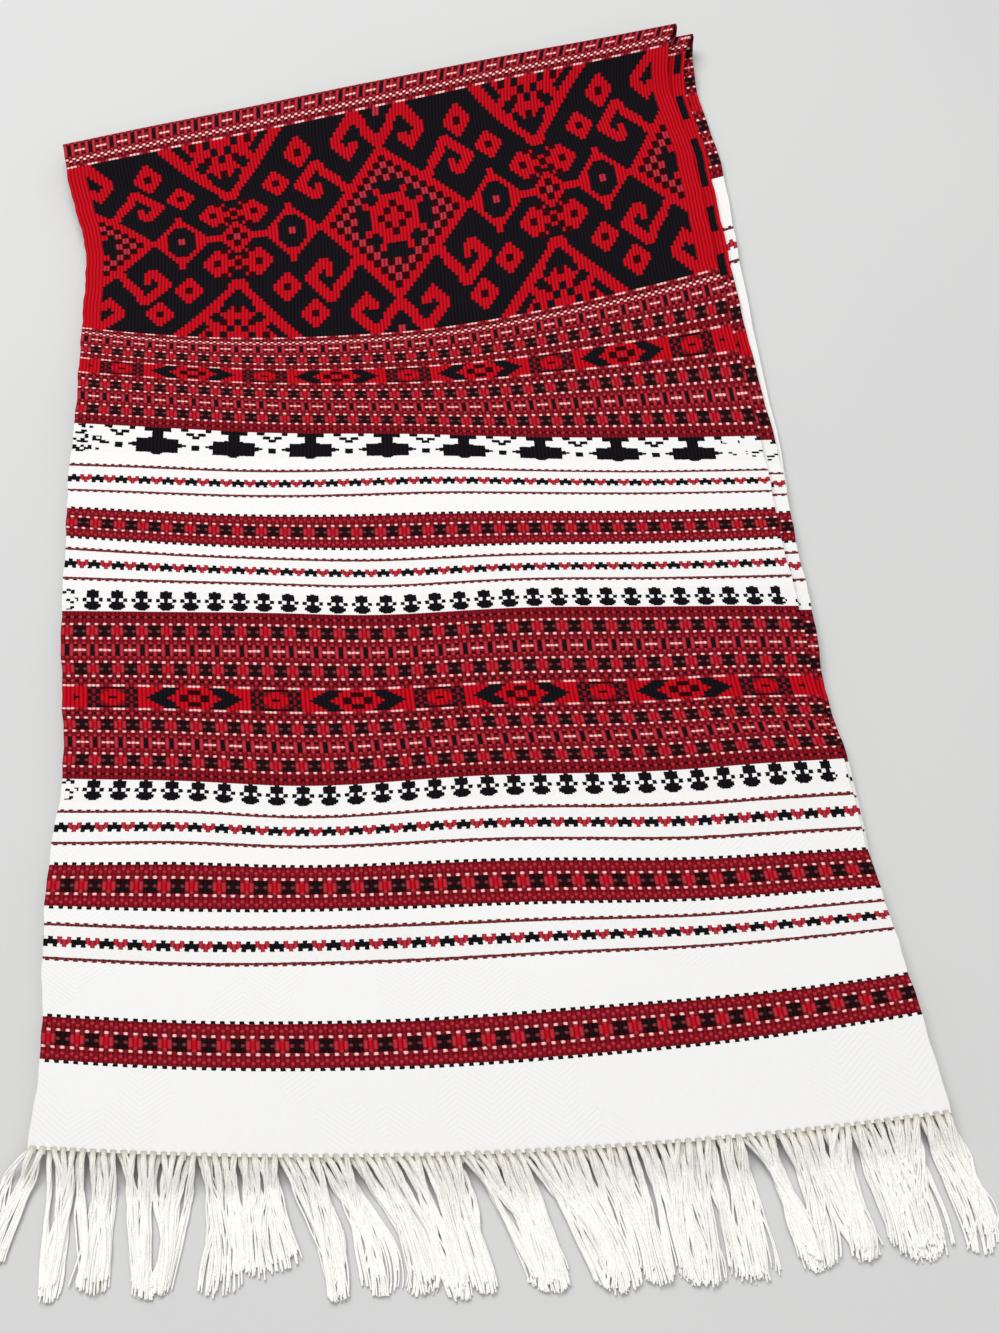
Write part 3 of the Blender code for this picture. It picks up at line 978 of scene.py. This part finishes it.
# steps from one point of the twill to the next, the size of its patches, and where they begin
TWILL_HALF, TWILL_PATCH_SCALE, TWILL_PATCH_FROM = 7.0, 14.0, 0.52
# a pale dash thins out where the rounding of its thread falls below this
PALE_THREAD_EDGE = 0.2


def plain_ground(m, place, across, along, grain):
    """Colour, height and shade of the white ground with its faint, patchy point twill."""
    point = m.math("PINGPONG", across, TWILL_HALF)
    slant = m.math("MULTIPLY_ADD", point, 1.3, m.math("MULTIPLY", along, 1.1))
    patch = m.math("GREATER_THAN", m.noise(place, TWILL_PATCH_SCALE, 2.0), TWILL_PATCH_FROM)
    twill = m.math("MULTIPLY", m.math("SINE", m.math("MULTIPLY", slant, math.pi)), patch)
    # the twill also paints a faint light and shade into the white along its slant, besides its bump
    shade = m.math("ADD", m.math("MULTIPLY_ADD", grain, 0.10, 0.95), m.math("MULTIPLY", twill, 0.012))
    return (*YARN_COLOURS["W"], 1), m.math("MULTIPLY", twill, 0.05), shade


def patterned(m, number, rib, pick, grain, floats):
    """Colour, height and shade of the yarn on top: floats get painted shade at their sides, in the grooves
    between ribs, and pale ones thin out.
    """
    at = m.math("DIVIDE", m.math("ADD", number, 0.5), float(len(YARNS)))
    colour = m.ramp(at, [YARN_COLOURS[code] for code in YARNS])
    height = m.ramp(at, [(YARN_HEIGHTS[code],) * 3 for code in YARNS])
    pale = m.math("COMPARE", number, float(YARNS.index("P")), 0.4)
    thin = m.math("MULTIPLY", pale, m.math("LESS_THAN", pick, PALE_THREAD_EDGE))
    colour = m.mix(thin, colour, (*YARN_COLOURS["D"], 1))
    # painted shade: floats darken towards the grooves between ribs, and the white ground stays near full
    # tone
    groove_shade = m.math("MULTIPLY_ADD", m.math("MULTIPLY", rib, floats), 0.85, 0.36)
    groove_shade = m.math("ADD", groove_shade, m.math("MULTIPLY_ADD", floats, -0.62, 0.62))
    return colour, height, m.math("MULTIPLY", m.math("MULTIPLY_ADD", grain, 0.40, 0.80), groove_shade)


def weave_material(chart):
    m = Sketch("weave_" + chart)
    uv = m.node("UVMap", uv_map="Chart").outputs[0]
    place = m.node("TexCoord").outputs["Object"]
    across, along, _ = m.node("SeparateXYZ", uv).outputs
    stray = [m.math("SUBTRACT", m.noise(place, scale, 1.0), 0.5) for scale in STRAY_SCALES]
    tall = 2.0 if chart in HALF_SIZE_ROWS else 1.0
    u = m.math("MULTIPLY_ADD", stray[0], STRAY_REACH, across)
    v = m.math("MULTIPLY_ADD", stray[1], STRAY_REACH * tall, along)
    rib = m.math("ABSOLUTE", m.math("SINE", m.math("MULTIPLY", across, math.pi)))
    pick = m.math("ABSOLUTE", m.math("SINE", m.math("MULTIPLY", v, math.pi / tall)))
    grain = m.noise(place, GRAIN_SCALE, 3.0)
    if chart == "plain":
        floats = 0.0
        colour, height, shade = plain_ground(m, place, across, along, grain)
    else:
        number = find_yarn(m, chart, u, v)
        floats = m.math("GREATER_THAN", number, 0.5)
        colour, height, shade = patterned(m, number, rib, pick, grain, floats)
    relief = m.math("ADD", height, m.math("MULTIPLY", grain, 0.12))
    relief = m.math("ADD", relief, m.math("MULTIPLY", m.math("MULTIPLY", rib, floats), 0.30))
    relief = m.math("ADD", relief, m.math("MULTIPLY", m.math("MULTIPLY", pick, floats), 0.12))
    return m.finish(m.shaded(colour, shade), 0.8, gloss=0.04, relief=relief, strength=0.8, depth=0.001)


weaves = [weave_material(chart) for chart in CHARTS]
print("nodes in the field's material:", len(weaves[CHARTS.index("field")].node_tree.nodes))

# %% [markdown]
# ## Dress the sheet
# The sheet stands for the solid cloth from now on. The solid could be coloured instead, but its layers
# are stiff and have no face and back. Each chart is a material slot, and every face knows its slot.

# %% Dress the sheet
for weave in weaves:
    sheet.data.materials.append(weave)
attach(sheet, "root")
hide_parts("towel_cloth")
print("materials on the sheet:", len(sheet.data.materials))

# %% [markdown]
# ## Locks of the fringe
# The warp ends were left long and knotted in 92 bundles, 4 mm apart. Lying on the table the bundles
# gather in locks, which is what the eye sees first. A hair system would spread them evenly. So the
# table says how many bundles join each lock, and where its tip lies.

# %% Locks
BUNDLES, YARNS_EACH, YARN_RADIUS = 92, 9, 0.50
LOCKS = (
    # bundles up to, tip x, tip y, tip width
    (2, -202.0, -47.0, 12.0),
    (5, -177.4, -58.6, 6.5),
    (9, -160.9, -55.6, 13.4),
    (17, -137.1, -57.8, 13.5),
    (20, -110.8, -57.6, 15.5),
    (25, -92.0, -49.6, 22.5),
    (29, -63.3, -58.2, 7.0),
    (32, -46.9, -56.3, 15.0),
    (36, -29.3, -56.3, 12.6),
    (40, -15.5, -58.2, 8.0),
    (43, -5.3, -56.3, 8.6),
    (49, 19.8, -55.6, 14.1),
    (56, 47.0, -55.2, 16.0),
    (61, 63.6, -53.0, 10.5),
    (67, 80.1, -53.4, 15.7),
    (71, 101.5, -51.5, 15.8),
    (77, 127.6, -47.3, 14.0),
    (82, 146.1, -44.3, 9.0),
    (89, 168.9, -43.2, 21.0),
    (92, 193.0, -40.1, 14.0),
)


def under_locks(seed):
    """Locks of the lower fringe: a little shorter, and lying mostly hidden below the others."""
    rng = np.random.default_rng(seed)
    return [
        (last, x + rng.normal(0, 1.5), y + rng.uniform(3, 7), 0.9 * width)
        for last, x, y, width in LOCKS
    ]


print("locks:", len(LOCKS), "with", BUNDLES * YARNS_EACH, "yarns")

# %% [markdown]
# ## The way of one yarn
# Each bundle starts as a knot on the hem. Its yarns turn around each other at first, then loosen, drop
# to the table and lie side by side. A physics run would tangle them past repair, and straight lines
# would look combed. Each yarn is a formula of a few smooth moves, with a little chance in it.

# %% One knot and one yarn
T = np.linspace(0, 1, 16)
HEM = np.array(0.0)
# how far a lock's slant has to reach sideways until its yarns leave the hem in that direction, in mm
FULL_LEAN = 14
# the share of a yarn over which it is still twisted into its bundle, and the twist's half width and height
TWISTED, TWIST_WIDE, TWIST_HIGH = 0.6, 0.85, 0.6
# where a yarn leaves the hem's height, and over which share of it the drop goes on
DROP_FROM, DROP_OVER = 0.04, 0.3
ABOVE_HEM = 0.5


def hem_top(layer, share):
    """Where a bundle leaves the hem: its place on the table and the height of the cloth's face there."""
    x, y = place_on_table(HEM, share)
    z = layer_height(layer, HEM, share) + THICKNESS / 2
    if layer == TOP:
        y, z = uneven(HEM, share, y, z)
    return float(x), float(y), float(z)


def knot_line(root, over):
    """A short thick knot that sits on the edge of the hem and leans down over it."""
    return np.stack([root[0] + 0.4 * T, root[1] + over - 2.6 * T, root[2] + 0.15 - 1.6 * T * T], -1)


def yarn_line(root, end, over, sway, turn, floor_z):
    """One yarn: over the hem, down to the table, then along the table to its tip."""
    lean = min(1.0, abs(end[0] - root[0]) / FULL_LEAN)
    ease = (1 - lean) * (0.1 * T + 0.9 * T * T * (3 - 2 * T)) + lean * (1 - (1 - T) ** 1.4)
    gather = np.clip(1 - T / TWISTED, 0, 1) ** 0.6
    x = root[0] + (end[0] - root[0]) * ease + sway + TWIST_WIDE * gather * np.cos(turn)
    y = root[1] + over + (end[1] - root[1] - over) * T
    drop = np.clip((T - DROP_FROM) / DROP_OVER, 0, 1)
    drop = drop * drop * (3 - 2 * drop)
    z = (root[2] + ABOVE_HEM) * (1 - drop) + floor_z * drop
    z = z + TWIST_HIGH * gather * np.sin(turn) * (1 - 0.4 * drop)
    return np.stack([x, y, np.maximum(z, YARN_RADIUS)], -1)


print("height of the hem's middle:", round(hem_top(TOP, 0.5)[2], 2), "mm")

# %% [markdown]
# ## All the yarns of a fringe
# In a lock the bundles swap places, some end a little earlier, and now and then a single yarn strays.
# All of it is drawn from one seeded scatter for each fringe, so the towel is the same in each run and
# no two bundles are alike. A crowded lock is also thicker, so its yarns lie on each other.

# %% Gather the yarns in their locks
KNOT_SWELL = 0.85
DEEPEST_LOCK, STRAYS = 3.4, 0.04


def lock_depth(count, width):
    """Height to which the yarns of a lock pile up: what they fill, shared over the lock's width."""
    return min(DEEPEST_LOCK, 0.6 + count * YARNS_EACH * YARN_RADIUS ** 2 * 3.4 / max(width, 6))


def fringe_lines(layer, seed, locks, half_step):
    """Middle lines and thicknesses of all the yarns of one fringe, knots first."""
    rng = np.random.default_rng(seed)
    over = 1.0 if layer == TOP else 0.3
    knots, lines, radii = [], [], []
    first = 0
    for last, tip_x, tip_y, width in locks:
        count = last - first
        order = np.argsort(np.arange(count) + rng.normal(0, 0.8, count))
        depth = lock_depth(count, width)
        for k in range(count):
            root = hem_top(layer, (first + k + half_step) / BUNDLES)
            knots.append(knot_line(root, over))
            place = (order[k] + 0.5) / count - 0.5
            bend = rng.normal(0, 1.5) * np.sin(math.pi * T) + rng.normal(0, 1.0) * np.sin(2 * math.pi * T)
            level, shorter = rng.uniform(0, 1), rng.uniform(0, 2.5)
            for member in range(YARNS_EACH):
                spread = np.clip(place + rng.normal(0, 0.10) + rng.normal(0, 0.35 / count), -0.56, 0.56)
                stray = rng.normal(0, 0.35) + (rng.normal(0, 3.0) if rng.uniform() < STRAYS else 0)
                sway = bend + stray * np.sin(math.pi * T * rng.uniform(1.0, 2.2)) * T
                end_y = tip_y + abs(rng.normal(0, 1.1)) + 0.2 * width * (2 * spread) ** 2 + shorter
                end = (tip_x + 1.06 * width * spread, end_y)
                turn = 2 * math.pi * (member / YARNS_EACH + 2.2 * T + 0.13 * k)
                pile = depth * np.clip(0.7 * level + rng.uniform(0, 0.3), 0, 1) * (1 - 0.5 * T)
                lines.append(yarn_line(root, end, over, sway, turn, YARN_RADIUS + pile))
                radii.append(YARN_RADIUS * (1 - 0.2 * T ** 4) * rng.uniform(0.85, 1.1))
        first = last
    swell = KNOT_SWELL * np.sin(math.pi * np.linspace(0.04, 0.96, len(T))) ** 0.5
    return np.array(knots + lines), np.array([swell] * len(knots) + radii)


print("depth of the first lock:", round(lock_depth(LOCKS[0][0], LOCKS[0][3]), 2), "mm")

# %% [markdown]
# ## Yarns as tubes
# A yarn is thin and round. A bevelled curve for each of some 900 yarns would be slow to handle, and each
# would be a piece by itself. So all the yarns of a fringe become one mesh, five sides round. Each point
# keeps its share of the yarn's length, for the colour.

# %% One mesh for many yarns
SHORTEST = 1e-6


def tubes(name, lines, radius, sides=5):
    """Join many round yarns into one mesh: lines has one row of points for each yarn."""
    count, points = lines.shape[:2]
    along = np.gradient(lines, axis=1)
    along /= np.linalg.norm(along, axis=2, keepdims=True)
    side = np.cross(along, (0.0, 0.0, 1.0))
    side /= np.maximum(np.linalg.norm(side, axis=2, keepdims=True), SHORTEST)
    up = np.cross(side, along)
    angle = np.arange(sides) * 2 * math.pi / sides
    ring = side[:, :, None] * np.cos(angle)[:, None] + up[:, :, None] * np.sin(angle)[:, None]
    places = lines[:, :, None] + ring * radius[:, :, None, None]
    k = np.arange(count * points * sides).reshape(count, points, sides)
    a, b = k[:, :-1], k[:, 1:]
    faces = np.stack([a, b, np.roll(b, -1, 2), np.roll(a, -1, 2)], -1).reshape(-1, 4).tolist()
    faces += k[:, 0, ::-1].tolist() + k[:, -1].tolist()
    places = places.reshape(-1, 3) - np.array((*SHIFT, 0.0))
    mesh = bpy.data.meshes.new(name)
    mesh.from_pydata(places * MM, [], faces)
    along_yarn = np.broadcast_to(np.linspace(0, 1, points)[None, :, None], (count, points, sides))
    mesh.attributes.new("along", "FLOAT", "POINT").data.foreach_set("value", along_yarn.ravel())
    mesh.shade_smooth()
    made = bpy.data.objects.new(name, mesh)
    bpy.context.scene.collection.objects.link(made)
    return made


print("a yarn's thickness:", 2 * YARN_RADIUS, "mm")

# %% [markdown]
# ## The yarn's finish
# The fringe is undyed cotton, a warm white. One flat white would
#  burn out in the light. So a slow noise changes the tone from place to place, a fine one gives the
#  fibres, and the first seventh of each yarn turns from a darker beige, painted shade at the knots, to
#  white.

# %% Yarn material
KNOT_SHADE_TONE = (0.80, 0.76, 0.66, 1)
YARN_TONES = ((0.78, 0.76, 0.70), (0.87, 0.86, 0.83), (0.84, 0.82, 0.77))
KNOT_SHADE_FADE = 7.0


def yarn_material():
    m = Sketch("fringe_yarn")
    place = m.node("TexCoord").outputs["Object"]
    grain = m.noise(place, 1500.0, 3.0)
    colour = m.ramp(m.noise(place, 60.0, 2.0), YARN_TONES, constant=False)
    along = m.node("Attribute", attribute_name="along").outputs["Fac"]
    past_knot_shade = m.math("MINIMUM", m.math("MULTIPLY", along, KNOT_SHADE_FADE), 1.0)
    # painted shade: the first seventh of each yarn is a darker beige, for the shade at the knots
    colour = m.mix(past_knot_shade, KNOT_SHADE_TONE, colour)
    shade = m.math("MULTIPLY_ADD", grain, 0.36, 0.80)
    return m.finish(m.shaded(colour, shade), 0.9, gloss=0.1, relief=grain, strength=0.6, depth=0.0004)


fringe_yarn = yarn_material()
print("nodes in the yarn's material:", len(fringe_yarn.node_tree.nodes))

# %% [markdown]
# ## Lay both fringes
# One fringe hangs from the visible hem, the other from the cloth's lower end right below it. They could
# be one piece, but each stands for a solid of its own, so each stays a piece of its own.

# %% Lay both fringes
for name, node, layer, seed, locks, half_step in (
    ("front_yarns", "fringe_front", TOP, 11, LOCKS, 0.5),
    ("under_yarns", "fringe_under", SECOND, 23, under_locks(5), 0.0),
):
    lines, radii = fringe_lines(layer, seed, locks, half_step)
    yarns = tubes(name, lines, radii)
    yarns.data.materials.append(fringe_yarn)
    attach(yarns, "root")
    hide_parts(node)
    print(name, len(lines), "yarns")

# %% [markdown]
# ## Floor
# The towel lies on a plain pale table. It could be pure white, but white cloth needs a ground that is
# a little darker than itself, so a light grey with a very faint drift in tone carries its soft edges.

# %% Floor
FLOOR_REACH = 4
FLOOR_TONES = ((0.53, 0.53, 0.53), (0.57, 0.57, 0.565))

floor_mesh = bpy.data.meshes.new("floor")
floor_corners = [(x * FLOOR_REACH, y * FLOOR_REACH, 0) for x, y in ((-1, -1), (1, -1), (1, 1), (-1, 1))]
floor_mesh.from_pydata(floor_corners, [], [(0, 1, 2, 3)])
floor = bpy.data.objects.new("floor", floor_mesh)
bpy.context.scene.collection.objects.link(floor)
table = Sketch("table")
table_tone = table.noise(table.node("TexCoord").outputs["Object"], 3.0, 2.0)
floor_mesh.materials.append(table.finish(table.ramp(table_tone, FLOOR_TONES, constant=False), 0.9))
print("floor:", 2 * FLOOR_REACH, "m square")

# %% [markdown]
# ## Light
# Small hard lamps would draw a black line beside every yarn. The light is a studio's: one large soft
# light above and behind, a weaker one in front, and an even pale surround, so that the white cloth keeps
# soft grey shadows along its edges and the relief of the weave still shows.

# %% Light and surround
SURROUND_STRENGTH = 0.42
LIGHTS = (
    # name, place in m, turn in degrees, size in m, power
    ("sky light", (-0.5, 0.8, 1.7), (-25, -16, 0), 1.4, 35),
    ("front fill", (0.4, -1.2, 1.5), (38, 0, 0), 1.6, 11.5),
)

for name, place, turn, size, power in LIGHTS:
    lamp = bpy.data.lights.new(name, "AREA")
    lamp.size, lamp.energy = size, power
    light = bpy.data.objects.new(name, lamp)
    light.location = place
    light.rotation_euler = [math.radians(a) for a in turn]
    bpy.context.scene.collection.objects.link(light)
world = bpy.data.worlds.new("surround")
world.use_nodes = True
surround = world.node_tree.nodes["Background"]
surround.inputs["Color"].default_value = (1, 1, 1, 1)
surround.inputs["Strength"].default_value = SURROUND_STRENGTH
bpy.context.scene.world = world
print("soft lights:", len(LIGHTS))

# %% [markdown]
# ## Sizes
# The cloth was woven about 36 cm wide and 2.56 m long, four times its folded length.
